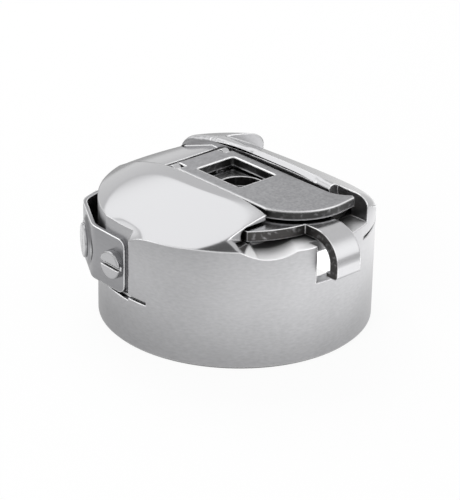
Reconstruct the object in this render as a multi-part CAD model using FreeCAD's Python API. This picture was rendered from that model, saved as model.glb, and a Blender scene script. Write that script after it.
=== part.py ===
import FreeCAD, Part
import math
import os

os.makedirs("parts", exist_ok=True)

# All sizes in millimetres. The case stands on its open rim: Z is the case axis, X is the way
# the latch slide runs towards its horn, and the origin is the axis at the open rim.

# Cup and crown
case_radius = 12.0
base_chamfer = 0.2
wall_thickness = 1.05
cup_depth = 9.4
rim_height = 10.7
crown_height = 12.9
crown_flat_radius = 4.2

# Flat ground on the near half of the crown: height on the axis and its fall along X and Y
facet_height = 13.65
facet_fall_x = 0.0624
facet_rise_y = 0.217

# Far side: ridge beside the lever, long bevel behind it and the taller lug at its back end
ridge_height = 13.15
ridge_peak_x = 1.5
ridge_radius = 95.0
ridge_outer_y = 4.25
bevel_height = 13.0
bevel_slope = 0.5
lug_front_x = -7.0
lug_rim_height = 11.64

# Channel for the lever and the undercut slot for the slide
channel_half_width = 3.65
channel_back_x = -6.6
channel_floor = 10.3
land_height = 12.0
land_back_x = -7.3
land_rim_height = 10.45
slot_side_clearance = 0.4
slide_under_gap = 0.27
slide_over_gap = 0.22
slot_back_x = -4.0

# Front pocket, finger scoop and the notch for the horn
pocket_x = 7.45
pocket_far_y = 4.75
pocket_floor = 10.5
scoop_angle = -28.7
scoop_radius = 5.28
scoop_floor = 10.0
notch_half_width = 1.92
notch_floor = 7.15

# Saw cuts in the wall: the thread slit under the leaf spring, its entry, and the far cut
slit_width = 0.3
thread_slit_height = 4.62
thread_slit_angle = -112.0
thread_saw_standoff = 8.0
thread_saw_radius = 11.44
thread_entry_angle = -138.0
thread_entry_width = 0.5
far_slit_height = 9.28
far_slit_angle = 31.0
far_saw_standoff = 18.0
far_saw_radius = 18.4

# Centre tube, pressed into the end wall
tube_radius = 2.85
tube_bore_radius = 2.2
tube_end_height = 0.0
tube_chamfer = 0.25

# Latch slide
slide_top = 11.63
slide_thickness = 0.91
slide_half_width = 6.05
slide_front_inset = 2.16
slide_back_x = -2.95
hole_radius = 2.17
hole_x = 0.55
hole_stretch = 0.75
arm_inner_y = 2.5
arm_outer_y = 3.2
arm_fork_x = -3.1
horn_half_width = 1.33
horn_reach = 1.68
horn_bend_radius = 2.7
horn_bottom = 7.8
horn_lip = 0.4
horn_lip_height = 0.42
horn_corner = 0.35

# Latch lever and its hinge
lever_top = 12.66
lever_thickness = 0.85
lever_half_width = 3.24
lever_back_x = -4.05
lever_edge_round = 0.16
lever_near_x = 6.9
lever_middle_x = 9.55
lever_middle_y = -1.0
lever_reach_x = 10.25
lever_reach_y = 2.6
lever_tip_x = 10.05
lever_tip_y = 4.3
lever_tip_corner = 0.2
flare_start_x = 7.4
flare_sag = 0.3
hinge_x = -4.9
barrel_radius = 0.6
barrel_half_width = 2.3
hinge_pin_radius = 0.35
hinge_clearance = 0.03
window_back_x = -3.06
window_front_x = 2.4
window_near_y = -1.98
window_far_y = 2.28
window_corner = 0.25
toe_distance = 1.0
toe_radius = 0.3
toe_half_width = 1.2
toe_gap = 0.2
lever_opening = 50.0
stop_block_length = 0.7
stop_block_half_width = 1.3
stop_block_top = 11.25

# Latch return spring and the screw it leans on
spring_y = -4.6
spring_mean_radius = 0.475
spring_wire_radius = 0.1
spring_turns = 8
wire_sides = 8
spring_slot_width = 1.4
spring_slot_end_x = 4.6
spring_end_gap = 0.03
stop_x = -1.3
stop_dog_radius = 0.45
stop_dog_top = 11.5
stop_thread_radius = 0.7
stop_rest_gap = 0.05

# Leaf tension spring: three flats, each with its facing angle and how far its outer face
# stands out from the wall's own radius
leaf_thickness = 0.35
leaf_angles = (-92.0, -120.5, -163.0)
leaf_standoffs = (-0.18, 0.85, 0.42)
leaf_start = 0.68
leaf_end = 0.9
leaf_bend_radius = 2.2
leaf_bottom = 4.39
leaf_top = 9.3
leaf_corner = 0.8
leaf_tip_bottom = 5.4
leaf_tip_top = 8.3
recess_edge = -0.1
recess_bottom = 4.25

# Screws of the leaf spring
leaf_screw_height = 6.85
fixing_screw_offset = 1.96
fixing_head_radius = 1.25
fixing_head_height = 0.62
fixing_shank_radius = 0.6
adjusting_screw_offset = 1.2
adjusting_head_radius = 1.5
adjusting_head_height = 0.24
adjusting_shank_radius = 0.6
adjusting_clearance = 0.04
boss_radius = 2.25
boss_face_radius = 1.75
boss_rise = 0.22
screw_hole_clearance = 0.1
screw_end_inset = 0.12
driver_slot_width = 0.36
driver_slot_depth = 0.3
head_edge_round = 0.1

# Sizes that follow from the ones above
cup_radius = case_radius - wall_thickness
slide_bottom = slide_top - slide_thickness
slide_front_radius = case_radius - slide_front_inset
horn_face_x = case_radius + horn_reach
slot_half_width = slide_half_width + slot_side_clearance
slot_floor = slide_bottom - slide_under_gap
slot_top = slide_top + slide_over_gap
slot_height = slot_top - slot_floor
slot_front_x = math.sqrt(slide_front_radius ** 2 - pocket_far_y ** 2) + slot_side_clearance
spring_height = (slide_top + slide_bottom) / 2
leaf_distances = [case_radius + standoff for standoff in leaf_standoffs]
hinge_z = lever_top - barrel_radius
toe_lean = math.radians(lever_opening / 2)
slide_travel = 2 * toe_distance * math.sin(toe_lean)
toe_front_x = hinge_x - toe_distance * math.sin(toe_lean) + toe_radius
fit_overlap = 1.0
beyond = 30.0


def vec(x, y, z):
    """A point or direction in the case frame."""
    return FreeCAD.Vector(x, y, z)


def radial(angle):
    """Unit direction pointing out from the axis at a wall angle in degrees."""
    turn = math.radians(angle)
    return vec(math.cos(turn), math.sin(turn), 0)


def around(angle):
    """Unit direction along the wall at an angle, towards smaller angles."""
    turn = math.radians(angle)
    return vec(math.sin(turn), -math.cos(turn), 0)


def block(x_range, y_range, z_range):
    """Box between two limits on each axis."""
    size = [pair[1] - pair[0] for pair in (x_range, y_range, z_range)]
    return Part.makeBox(*size, vec(x_range[0], y_range[0], z_range[0]))


def rod(radius, base, axis, length):
    """Cylinder that starts at a point and runs along an axis."""
    return Part.makeCylinder(radius, length, base, axis)


def prism(points, sweep):
    """Solid swept from a flat polygon."""
    wire = Part.makePolygon(list(points) + [points[0]])
    return Part.Face(wire).extrude(sweep)


def revolve_profile(edges):
    """Solid of revolution about the case axis from a closed chain of edges."""
    face = Part.Face(Part.Wire(edges))
    return face.revolve(vec(0, 0, 0), vec(0, 0, 1), 360)


def crown_blank(edge_height, top_height):
    """Turned cup blank whose crown is flat in the middle and falls to the rim on one arc."""
    drop = top_height - edge_height
    reach = case_radius - crown_flat_radius
    arc_radius = (reach * reach + drop * drop) / (2 * drop)
    half_turn = math.asin(reach / arc_radius) / 2
    middle = vec(
        crown_flat_radius + arc_radius * math.sin(half_turn),
        0,
        top_height - arc_radius * (1 - math.cos(half_turn)),
    )
    axis_base = vec(0, 0, 0)
    foot = vec(case_radius - base_chamfer, 0, 0)
    heel = vec(case_radius, 0, base_chamfer)
    rim = vec(case_radius, 0, edge_height)
    flat_edge = vec(crown_flat_radius, 0, top_height)
    axis_top = vec(0, 0, top_height)
    return revolve_profile([
        Part.makeLine(axis_base, foot),
        Part.makeLine(foot, heel),
        Part.makeLine(heel, rim),
        Part.Arc(rim, middle, flat_edge).toBSpline().toShape(),
        Part.makeLine(flat_edge, axis_top),
        Part.makeLine(axis_top, axis_base),
    ])


def facet_cutter():
    """Everything above the ground flat on the near half of the crown."""
    def at(x, y):
        return vec(x, y, facet_height - facet_fall_x * x + facet_rise_y * y)
    corners = [at(-beyond, -beyond), at(beyond, -beyond), at(beyond, 0), at(-beyond, 0)]
    return prism(corners, vec(0, 0, beyond))


def far_side():
    """Ridge and long bevel beyond the lever, crowned along the case."""
    wall = rod(case_radius, vec(0, 0, base_chamfer), vec(0, 0, 1), beyond)
    bevel_end = bevel_height - bevel_slope * (case_radius - ridge_outer_y)
    section = [
        vec(lug_front_x, channel_half_width, rim_height / 2),
        vec(lug_front_x, channel_half_width, beyond),
        vec(lug_front_x, ridge_outer_y, beyond),
        vec(lug_front_x, ridge_outer_y, bevel_height),
        vec(lug_front_x, case_radius, bevel_end),
        vec(lug_front_x, case_radius, rim_height / 2),
    ]
    crown = rod(
        ridge_radius,
        vec(ridge_peak_x, -beyond, ridge_height - ridge_radius),
        vec(0, 1, 0),
        2 * beyond,
    )
    return prism(section, vec(beyond, 0, 0)).common(wall).common(crown)


def leaf_frame(index):
    """Facing direction, sideways direction and outer distance of one flat of the leaf."""
    angle = leaf_angles[index]
    return radial(angle), around(angle), leaf_distances[index]


def leaf_recess():
    """Flat seat in the wall for the fixed end of the leaf spring."""
    facing, side, distance = leaf_frame(0)
    seat = facing * (distance - leaf_thickness)
    start = seat + side * recess_edge
    corners = [
        start + vec(0, 0, recess_bottom),
        start + side * beyond + vec(0, 0, recess_bottom),
        start + side * beyond + vec(0, 0, beyond),
        start + vec(0, 0, beyond),
    ]
    return prism(corners, facing * beyond)


def saw_cut(angle, standoff, radius, height):
    """Thin level disc cut into the wall by a saw whose centre stands off the wall."""
    centre = radial(angle) * (case_radius + standoff) + vec(0, 0, height - slit_width / 2)
    return rod(radius, centre, vec(0, 0, 1), slit_width)


def slide_slot():
    """Undercut slot for the slide, round along both sides and open at the front."""
    side_radius = slot_height / 2
    length = slot_front_x - slot_back_x
    flat_half_width = slot_half_width - side_radius
    slot = block(
        (slot_back_x, slot_back_x + length),
        (-flat_half_width, flat_half_width),
        (slot_floor, slot_top),
    )
    for y in (-flat_half_width, flat_half_width):
        centre = vec(slot_back_x, y, slot_floor + side_radius)
        slot = slot.fuse(rod(side_radius, centre, vec(1, 0, 0), length))
    return slot


def front_pocket():
    """Open pocket at the horn end with the round finger scoop beside it."""
    region = block((pocket_x, beyond), (-case_radius, pocket_far_y), (0, beyond))
    along = radial(scoop_angle)
    across = around(scoop_angle) * -1
    scoop_axis = vec(0, 0, scoop_floor + scoop_radius)
    scoop = rod(scoop_radius, scoop_axis, along, beyond)
    corner = along * -beyond + vec(0, 0, pocket_floor)
    floor_cut = prism(
        [corner, corner + along * 2 * beyond, corner + along * 2 * beyond + across * beyond,
         corner + across * beyond],
        vec(0, 0, beyond),
    )
    scoop_top = block((0, beyond), (-beyond, beyond), (scoop_floor + scoop_radius, beyond))
    return scoop.fuse(floor_cut).common(region).cut(scoop_top)


def lever_channel():
    """Open channel along the lever with the land and ramp behind its hinge."""
    half = channel_half_width
    cut = block((slot_back_x, beyond), (-half, half), (slot_floor + slot_height / 2, beyond))
    tail = block((channel_back_x, slot_back_x), (-half, half), (channel_floor, beyond))
    ramp_fall = (land_height - land_rim_height) / (land_back_x + case_radius)
    ramp_end = -case_radius - fit_overlap
    ramp = prism(
        [
            vec(channel_back_x + fit_overlap, -half, land_height),
            vec(land_back_x, -half, land_height),
            vec(ramp_end, -half, land_rim_height - ramp_fall * fit_overlap),
            vec(ramp_end, -half, beyond),
            vec(channel_back_x + fit_overlap, -half, beyond),
        ],
        vec(0, 2 * half, 0),
    )
    return cut.fuse(tail).fuse(ramp)


def toe_stop_block():
    """Raised block in the channel that the toe of the lever pushes against."""
    return block(
        (toe_front_x + toe_gap, toe_front_x + toe_gap + stop_block_length),
        (-stop_block_half_width, stop_block_half_width),
        (channel_floor, stop_block_top),
    )


def make_case_body():
    """Cup with its domed end wall, cut for the latch, the leaf spring and the thread."""
    near = crown_blank(rim_height, crown_height).cut(facet_cutter())
    near = near.common(block((-beyond, beyond), (-beyond, channel_half_width), (0, beyond)))
    lug_region = block((-beyond, lug_front_x), (channel_half_width, beyond), (0, beyond))
    lug = crown_blank(lug_rim_height, ridge_height).common(lug_region)
    skirt = crown_blank(rim_height / 2, rim_height / 2 + fit_overlap)
    skirt = skirt.common(block((-beyond, beyond), (channel_half_width, beyond), (0, rim_height / 2)))
    body = near.fuse(far_side()).fuse(lug).fuse(skirt)
    body = body.cut(rod(cup_radius, vec(0, 0, -fit_overlap), vec(0, 0, 1), cup_depth + fit_overlap))
    body = body.cut(lever_channel())
    body = body.cut(slide_slot())
    body = body.cut(front_pocket())
    notch = block((cup_radius / 2, beyond), (-notch_half_width, notch_half_width), (notch_floor, beyond))
    end_wall = rod(cup_radius, vec(0, 0, cup_depth), vec(0, 0, 1), beyond)
    body = body.cut(notch.cut(end_wall))
    body = body.fuse(toe_stop_block())
    body = body.cut(leaf_recess())
    body = body.cut(saw_cut(thread_slit_angle, thread_saw_standoff, thread_saw_radius, thread_slit_height))
    entry_out = radial(thread_entry_angle)
    entry_side = around(thread_entry_angle) * (thread_entry_width / 2)
    entry = prism(
        [entry_side, entry_side * -1, entry_out * beyond - entry_side, entry_out * beyond + entry_side],
        vec(0, 0, thread_slit_height),
    )
    entry = entry.cut(rod(cup_radius - fit_overlap, vec(0, 0, 0), vec(0, 0, 1), beyond))
    body = body.cut(entry)
    body = body.cut(saw_cut(far_slit_angle, far_saw_standoff, far_saw_radius, far_slit_height))
    body = body.cut(rod(tube_radius, vec(0, 0, 0), vec(0, 0, 1), slot_floor + fit_overlap))
    body = body.cut(rod(stop_thread_radius, vec(stop_x, spring_y, 0), vec(0, 0, 1), slot_floor + fit_overlap))
    for index, offset, radius in (
        (0, fixing_screw_offset, fixing_shank_radius),
        (1, adjusting_screw_offset, adjusting_shank_radius + adjusting_clearance),
    ):
        facing, side, distance = leaf_frame(index)
        start = facing * (cup_radius - fit_overlap) + side * offset + vec(0, 0, leaf_screw_height)
        body = body.cut(rod(radius, start, facing, distance))
    return body


def make_centre_tube():
    """Tube that the bobbin turns on and the hook stud passes through."""
    tube = rod(tube_radius, vec(0, 0, tube_end_height), vec(0, 0, 1), slot_floor - tube_end_height)
    lower_edge = [e for e in tube.Edges if e.BoundBox.ZMax < tube_end_height + tube_chamfer]
    tube = tube.makeChamfer(tube_chamfer, lower_edge)
    return tube.cut(rod(tube_bore_radius, vec(0, 0, 0), vec(0, 0, 1), beyond))


def slide_plate():
    """Flat of the slide: round front, straight sides and two arms at the tail."""
    plate = rod(slide_front_radius, vec(0, 0, slide_bottom), vec(0, 0, 1), slide_thickness)
    limits = block(
        (slide_back_x, slide_front_radius),
        (-slide_half_width, slide_half_width),
        (slide_bottom, slide_top),
    )
    plate = plate.common(limits)
    tail_x = hinge_x - barrel_radius
    for side in (-1, 1):
        inner = min(side * arm_inner_y, side * arm_outer_y)
        outer = max(side * arm_inner_y, side * arm_outer_y)
        plate = plate.fuse(block((tail_x, slide_back_x), (inner, outer), (slide_bottom, slide_top)))
    fork = block((tail_x, arm_fork_x), (-arm_inner_y, arm_inner_y), (slide_bottom, slide_top))
    return plate.cut(fork)


def slide_horn():
    """Horn at the front of the slide, bent down outside the wall, with a small lip at its tip."""
    root_x = slide_front_radius - fit_overlap
    bend_x = horn_face_x - horn_bend_radius
    bend_z = slide_top - horn_bend_radius
    inner_radius = horn_bend_radius - slide_thickness
    diagonal = math.sqrt(0.5)
    y = -horn_half_width

    def bend_point(radius):
        return vec(bend_x + radius * diagonal, y, bend_z + radius * diagonal)
    inner_x = horn_face_x - slide_thickness
    top_root = vec(root_x, y, slide_top)
    top_bend = vec(bend_x, y, slide_top)
    face_bend = vec(horn_face_x, y, bend_z)
    face_end = vec(horn_face_x, y, horn_bottom)
    lip_end = vec(inner_x - horn_lip, y, horn_bottom)
    lip_top = vec(inner_x - horn_lip, y, horn_bottom + horn_lip_height)
    lip_root = vec(inner_x, y, horn_bottom + horn_lip_height)
    inner_bend = vec(inner_x, y, bend_z)
    low_bend = vec(bend_x, y, slide_bottom)
    low_root = vec(root_x, y, slide_bottom)
    outline = Part.Wire([
        Part.makeLine(top_root, top_bend),
        Part.Arc(top_bend, bend_point(horn_bend_radius), face_bend).toShape(),
        Part.makeLine(face_bend, face_end),
        Part.makeLine(face_end, lip_end),
        Part.makeLine(lip_end, lip_top),
        Part.makeLine(lip_top, lip_root),
        Part.makeLine(lip_root, inner_bend),
        Part.Arc(inner_bend, bend_point(inner_radius), low_bend).toShape(),
        Part.makeLine(low_bend, low_root),
        Part.makeLine(low_root, top_root),
    ])
    horn = Part.Face(outline).extrude(vec(0, 2 * horn_half_width, 0))
    corners = [
        e for e in horn.Edges
        if e.BoundBox.ZMax < horn_bottom + horn_lip_height / 2
        and e.BoundBox.XLength < horn_corner
        and abs(e.BoundBox.XMax - horn_face_x) < horn_corner
    ]
    return horn.makeFillet(horn_corner, corners)


def slide_ears():
    """Two ears at the tail of the slide that hold the hinge pin."""
    ears = []
    for side in (-1, 1):
        low = min(side * arm_inner_y, side * arm_outer_y)
        width = arm_outer_y - arm_inner_y
        post = block(
            (hinge_x - barrel_radius, hinge_x + barrel_radius),
            (low, low + width),
            (slide_bottom, hinge_z),
        )
        ears.append(post.fuse(rod(barrel_radius, vec(hinge_x, low, hinge_z), vec(0, 1, 0), width)))
    return ears[0].fuse(ears[1])


def spring_window():
    """Slot in the slide that holds the return spring and lets the stop screw through."""
    back_x = stop_x - stop_dog_radius - stop_rest_gap
    half = spring_slot_width / 2
    return block(
        (back_x, spring_slot_end_x),
        (spring_y - half, spring_y + half),
        (slide_bottom - fit_overlap, slide_top + fit_overlap),
    )


def make_latch_slide():
    """Sliding latch plate with stud hole, spring slot, hinge ears and horn."""
    slide = slide_plate().fuse(slide_horn()).fuse(slide_ears())
    hole = rod(hole_radius, vec(hole_x, 0, 0), vec(0, 0, 1), beyond)
    hole = hole.fuse(rod(hole_radius, vec(hole_x + hole_stretch, 0, 0), vec(0, 0, 1), beyond))
    hole = hole.fuse(
        block((hole_x, hole_x + hole_stretch), (-hole_radius, hole_radius), (0, beyond))
    )
    slide = slide.cut(hole).cut(spring_window())
    pin_hole = rod(hinge_pin_radius, vec(hinge_x, -beyond, hinge_z), vec(0, 1, 0), 2 * beyond)
    return slide.cut(pin_hole).removeSplitter()


def lever_outline():
    """Flat outline of the lever: straight sides, a slanting round free end and a flared far tip."""
    z = lever_top - lever_thickness
    back_near = vec(lever_back_x, -lever_half_width, z)
    front_near = vec(lever_near_x, -lever_half_width, z)
    front_middle = vec(lever_middle_x, lever_middle_y, z)
    front_far = vec(lever_reach_x, lever_reach_y, z)
    tip_side = vec(lever_tip_x, lever_tip_y - lever_tip_corner, z)
    tip_end = vec(lever_tip_x - 2 * lever_tip_corner, lever_tip_y, z)
    flare_start = vec(flare_start_x, lever_half_width, z)
    flare_middle = vec((flare_start_x + lever_tip_x) / 2, lever_half_width + flare_sag, z)
    back_far = vec(lever_back_x, lever_half_width, z)
    return Part.Wire([
        Part.makeLine(back_near, front_near),
        Part.Arc(front_near, front_middle, front_far).toShape(),
        Part.makeLine(front_far, tip_side),
        Part.makeLine(tip_side, tip_end),
        Part.Arc(tip_end, flare_middle, flare_start).toShape(),
        Part.makeLine(flare_start, back_far),
        Part.makeLine(back_far, back_near),
    ])


def lever_toe():
    """Rounded toe under the hinge barrel, leaning back by half the opening angle."""
    toe_x = hinge_x - toe_distance * math.sin(toe_lean)
    toe_z = hinge_z - toe_distance * math.cos(toe_lean)
    across = vec(math.cos(toe_lean), 0, -math.sin(toe_lean)) * toe_radius
    start = vec(0, -toe_half_width, 0)
    hinge = vec(hinge_x, 0, hinge_z) + start
    tip = vec(toe_x, 0, toe_z) + start
    width = 2 * toe_half_width
    web = prism([hinge - across, hinge + across, tip + across, tip - across], vec(0, width, 0))
    return web.fuse(rod(toe_radius, tip, vec(0, 1, 0), width))


def make_latch_lever():
    """Flat lever with a square window, a hinge barrel and the toe that works the slide."""
    plate = Part.Face(lever_outline()).extrude(vec(0, 0, lever_thickness))
    window = block(
        (window_back_x, window_front_x),
        (window_near_y, window_far_y),
        (0, beyond),
    )
    upright = [e for e in window.Edges if e.BoundBox.ZLength > beyond / 2]
    plate = plate.cut(window.makeFillet(window_corner, upright))
    rounded = [
        e for e in plate.Edges
        if e.BoundBox.ZMin > lever_top - lever_edge_round and e.BoundBox.XMax > lever_back_x + fit_overlap
        and abs(e.BoundBox.YMin) > window_far_y
    ]
    plate = plate.makeFillet(lever_edge_round, rounded)
    neck = block(
        (hinge_x, lever_back_x + lever_edge_round),
        (-barrel_half_width, barrel_half_width),
        (lever_top - lever_thickness, lever_top),
    )
    start = vec(hinge_x, -barrel_half_width, hinge_z)
    barrel = rod(barrel_radius, start, vec(0, 1, 0), 2 * barrel_half_width)
    lever = plate.fuse(neck).fuse(barrel).fuse(lever_toe())
    bore = rod(hinge_pin_radius + hinge_clearance, start, vec(0, 1, 0), 2 * barrel_half_width)
    return lever.cut(bore).removeSplitter()


def make_hinge_pin():
    """Pin pressed into the ears of the slide; the lever turns on it."""
    return rod(hinge_pin_radius, vec(hinge_x, -arm_outer_y, hinge_z), vec(0, 1, 0), 2 * arm_outer_y)


def coil_point(start_x, pitch, turn):
    """Point on the centre line of the return spring after a number of turns."""
    angle = 2 * math.pi * turn
    return vec(
        start_x + pitch * turn,
        spring_y + spring_mean_radius * math.cos(angle),
        spring_height + spring_mean_radius * math.sin(angle),
    )


def coil_heading(pitch, turn):
    """Unit direction of the wire after a number of turns."""
    angle = 2 * math.pi * turn
    circle = 2 * math.pi * spring_mean_radius
    heading = vec(pitch, -circle * math.sin(angle), circle * math.cos(angle))
    return heading.normalize()


def arc_by_corner(start, corner, end):
    """Arc that leaves start and reaches end along the two equal legs of a corner."""
    middle = (start + end) * 0.5
    half_chord = (end - start).Length / 2
    rise = (corner - middle).Length
    leg = (corner - start).Length
    sagitta = half_chord * rise / (leg + half_chord)
    return Part.Arc(start, middle + (corner - middle) * (sagitta / rise), end).toShape()


def coil_biarc(start_x, pitch, turn):
    """Two arcs that follow half a turn of the coil and keep its direction at both ends."""
    start = coil_point(start_x, pitch, turn)
    end = coil_point(start_x, pitch, turn + 0.5)
    leave = coil_heading(pitch, turn)
    arrive = coil_heading(pitch, turn + 0.5)
    span = end - start
    both = leave + arrive
    a = 4 - both.dot(both)
    b = span.dot(both)
    leg = (-b + math.sqrt(b * b + a * span.dot(span))) / a
    first_corner = start + leave * leg
    second_corner = end - arrive * leg
    join = (first_corner + second_corner) * 0.5
    return [arc_by_corner(start, first_corner, join), arc_by_corner(join, second_corner, end)]


def coil_gap(edges):
    """Least gap of the wire to itself, measured on points along its centre line."""
    points = []
    for edge in edges:
        points.extend(edge.discretize(Number=12)[:-1])
    one_turn = len(points) / spring_turns
    apart = int(one_turn / 2)
    least = min(
        (points[i] - points[j]).Length
        for i in range(len(points))
        for j in range(i + apart, len(points))
    )
    return least - 2 * spring_wire_radius


def make_latch_spring():
    """Coil spring of round wire that pushes the slide forward, away from the stop screw."""
    start_x = stop_x + stop_dog_radius + spring_wire_radius + spring_end_gap
    end_x = spring_slot_end_x - spring_wire_radius - spring_end_gap
    pitch = (end_x - start_x) / spring_turns
    edges = []
    for half_turn in range(2 * spring_turns):
        edges.extend(coil_biarc(start_x, pitch, half_turn / 2))
    start = coil_point(start_x, pitch, 0)
    heading = coil_heading(pitch, 0)
    outward = vec(0, 1, 0)
    across = heading.cross(outward)
    corners = []
    for corner in range(wire_sides + 1):
        angle = 2 * math.pi * corner / wire_sides
        corners.append(start + (outward * math.cos(angle) + across * math.sin(angle)) * spring_wire_radius)
    section = Part.makePolygon(corners)
    coil = Part.Wire(edges).makePipeShell([section], True, False)
    print("spring: least gap of the wire to itself", round(coil_gap(edges), 3), "mm")
    return coil


def make_stop_screw():
    """Headless screw in the end wall whose smooth end stands up in the slot of the slide."""
    length = slot_floor - cup_depth
    screw = rod(stop_thread_radius, vec(stop_x, spring_y, cup_depth), vec(0, 0, 1), length)
    dog_length = stop_dog_top - slot_floor
    screw = screw.fuse(rod(stop_dog_radius, vec(stop_x, spring_y, slot_floor), vec(0, 0, 1), dog_length))
    driver_slot = block(
        (stop_x - stop_thread_radius, stop_x + stop_thread_radius),
        (spring_y - driver_slot_width / 2, spring_y + driver_slot_width / 2),
        (cup_depth, cup_depth + driver_slot_depth),
    )
    return screw.cut(driver_slot).removeSplitter()


def leaf_corner_point(first, inset):
    """Where two neighbouring flats of the leaf meet, at a depth below the outer face."""
    facing, side, distance = leaf_frame(first)
    turn = math.radians(leaf_angles[first] - leaf_angles[first + 1])
    near = distance - inset
    far = leaf_distances[first + 1] - inset
    reach = (far - near * math.cos(turn)) / math.sin(turn)
    return facing * near + side * reach


def leaf_path(inset):
    """Plan line of the leaf with rounded bends, at a depth below the outer face."""
    first_facing, first_side, first_distance = leaf_frame(0)
    last_facing, last_side, last_distance = leaf_frame(2)
    start = first_facing * (first_distance - inset) + first_side * leaf_start
    end = last_facing * (last_distance - inset) + last_side * leaf_end
    edges = []
    position = start
    for index in (0, 1):
        corner = leaf_corner_point(index, inset)
        before = leaf_frame(index)[1]
        after = leaf_frame(index + 1)[1]
        half_turn = math.radians(leaf_angles[index] - leaf_angles[index + 1]) / 2
        radius = leaf_bend_radius - inset
        reach = radius * math.tan(half_turn)
        bend_in = corner - before * reach
        bend_out = corner + after * reach
        inward = (after - before)
        inward.normalize()
        middle = corner + inward * (radius / math.cos(half_turn) - radius)
        edges.append(Part.makeLine(position, bend_in))
        edges.append(Part.Arc(bend_in, middle, bend_out).toShape())
        position = bend_out
    edges.append(Part.makeLine(position, end))
    return edges, start, end


def leaf_band():
    """Bent strip of the leaf, square at the fixed end and narrowed towards the free tip."""
    outer, outer_start, outer_end = leaf_path(0)
    inner, inner_start, inner_end = leaf_path(leaf_thickness)
    cap_start = Part.makeLine(inner_start, outer_start)
    cap_end = Part.makeLine(outer_end, inner_end)
    outline = Part.Wire(Part.__sortEdges__(outer + [cap_end] + inner + [cap_start]))
    band = Part.Face(outline).extrude(vec(0, 0, leaf_top - leaf_bottom))
    band.translate(vec(0, 0, leaf_bottom))
    first_facing, first_side, first_distance = leaf_frame(0)
    square_end = [
        e for e in band.Edges
        if e.BoundBox.ZLength < leaf_thickness
        and (e.CenterOfMass - outer_start).dot(first_side) < leaf_thickness / 2
        and abs(e.Length - leaf_thickness) < leaf_thickness / 2
        and e.CenterOfMass.dot(first_facing) > first_distance - leaf_thickness
    ]
    band = band.makeFillet(leaf_corner, square_end)
    facing, side, distance = leaf_frame(2)
    bend_end = leaf_corner_point(1, 0) + side * leaf_bend_radius
    start = bend_end - facing * beyond / 2
    far_point = start + side * beyond
    tip_length = (outer_end - bend_end).dot(side)
    for level, limit, sign in ((leaf_bottom, leaf_tip_bottom, -1), (leaf_top, leaf_tip_top, 1)):
        overshoot = (limit - level) / tip_length * beyond
        wedge = prism(
            [
                start + vec(0, 0, level),
                far_point + vec(0, 0, level + overshoot),
                far_point + vec(0, 0, level + sign * beyond),
                start + vec(0, 0, level + sign * beyond),
            ],
            facing * beyond,
        )
        band = band.cut(wedge)
    return band


def make_tension_spring():
    """Bent leaf spring with a raised ring around the adjusting screw."""
    leaf = leaf_band()
    facing, side, distance = leaf_frame(1)
    centre = side * adjusting_screw_offset + vec(0, 0, leaf_screw_height)
    outer_face = centre + facing * distance
    inner_face = centre + facing * (distance - leaf_thickness)
    leaf = leaf.fuse(Part.makeCone(boss_radius, boss_face_radius, boss_rise, outer_face, facing))
    leaf = leaf.cut(Part.makeCone(boss_radius, boss_face_radius, boss_rise, inner_face, facing))
    adjusting_hole = adjusting_shank_radius + screw_hole_clearance
    leaf = leaf.cut(rod(adjusting_hole, centre, facing, beyond))
    fix_facing, fix_side, fix_distance = leaf_frame(0)
    fix_point = fix_side * fixing_screw_offset + vec(0, 0, leaf_screw_height)
    leaf = leaf.cut(rod(fixing_shank_radius + screw_hole_clearance, fix_point, fix_facing, beyond))
    return leaf.removeSplitter()


def slotted_screw(point, facing, seat, head, shank, slot_along):
    """Cheese-head screw with a driver slot.

    point is on the axis at the case axis distance zero, seat is where the head sits,
    head and shank are (radius, height) and (radius, end distance).
    """
    head_radius, head_height = head
    shank_radius, shank_end = shank
    screw = rod(head_radius, point + facing * seat, facing, head_height)
    rim = [
        e for e in screw.Edges
        if abs((e.CenterOfMass - point).dot(facing) - seat - head_height) < head_edge_round
        and e.Length > head_radius
    ]
    screw = screw.makeFillet(head_edge_round, rim)
    screw = screw.fuse(rod(shank_radius, point + facing * shank_end, facing, seat - shank_end))
    depth = min(driver_slot_depth, head_height - head_edge_round)
    across = facing.cross(slot_along) * (driver_slot_width / 2)
    along = slot_along * (head_radius + fit_overlap)
    base = point + facing * (seat + head_height - depth)
    slot = prism(
        [base - along - across, base + along - across, base + along + across, base - along + across],
        facing * fit_overlap,
    )
    return screw.cut(slot).removeSplitter()


def screw_end(offset):
    """Where a wall screw ends: a little short of the inside of the cup."""
    return math.sqrt(cup_radius * cup_radius - offset * offset) + screw_end_inset


def make_fixing_screw():
    """Small screw that clamps the leaf spring to its flat seat."""
    facing, side, distance = leaf_frame(0)
    point = side * fixing_screw_offset + vec(0, 0, leaf_screw_height)
    head = (fixing_head_radius, fixing_head_height)
    shank = (fixing_shank_radius, screw_end(fixing_screw_offset))
    return slotted_screw(point, facing, distance, head, shank, side)


def make_adjusting_screw():
    """Large flat-headed screw that presses the middle of the leaf spring inwards."""
    facing, side, distance = leaf_frame(1)
    point = side * adjusting_screw_offset + vec(0, 0, leaf_screw_height)
    head = (adjusting_head_radius, adjusting_head_height)
    shank = (adjusting_shank_radius, screw_end(adjusting_screw_offset))
    return slotted_screw(point, facing, distance + boss_rise, head, shank, vec(0, 0, 1))


parts = {
    "case_body": make_case_body,
    "centre_tube": make_centre_tube,
    "latch_slide": make_latch_slide,
    "latch_lever": make_latch_lever,
    "lever_hinge_pin": make_hinge_pin,
    "latch_spring": make_latch_spring,
    "latch_stop_screw": make_stop_screw,
    "tension_spring": make_tension_spring,
    "tension_fixing_screw": make_fixing_screw,
    "tension_adjusting_screw": make_adjusting_screw,
}

for name, make in parts.items():
    shape = make()
    solids = shape.Solids
    print(name, "solids", len(solids), "valid", shape.isValid(), "volume", round(shape.Volume, 2))
    solids[0].exportStep("parts/" + name + ".step")

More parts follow.
